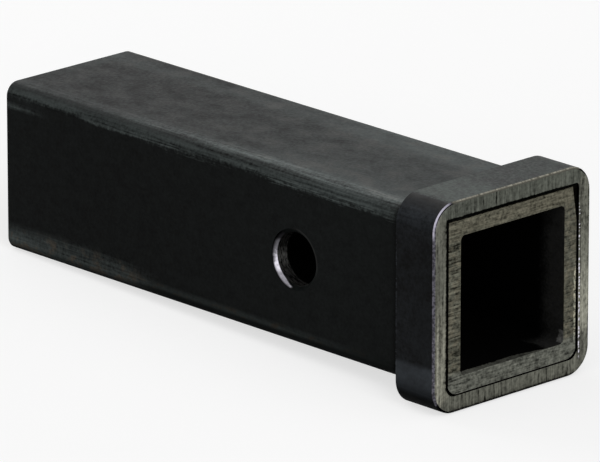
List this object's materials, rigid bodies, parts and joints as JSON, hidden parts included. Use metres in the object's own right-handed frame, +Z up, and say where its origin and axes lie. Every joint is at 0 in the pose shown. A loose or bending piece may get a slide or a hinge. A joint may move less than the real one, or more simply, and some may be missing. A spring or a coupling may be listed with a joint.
{
  "type": "receiver tube",
  "caption": "Square steel hitch receiver tube with a cross hole for a pin and a welded reinforcing collar round its mouth.",
  "frame": {"origin": "where the axis of the cross pin hole meets the axis of the square tube", "axes": "+X along the tube, out of the mouth; +Y along the cross pin hole; +Z up, square to a tube wall"},
  "size_m": [0.2286, 0.0768, 0.0768],
  "materials": {
    "tube_steel": "black mill scale on the walls, bare sawn steel on the end faces",
    "collar_steel": "blue-black mill scale outside, bare sawn steel on the front face",
    "weld_steel": "as-welded bead, unpainted"
  },
  "bodies": {
    "root": {"receiver_tube": "tube_steel", "reinforcing_collar": "collar_steel", "collar_weld": "weld_steel"}
  },
  "joints": []
}
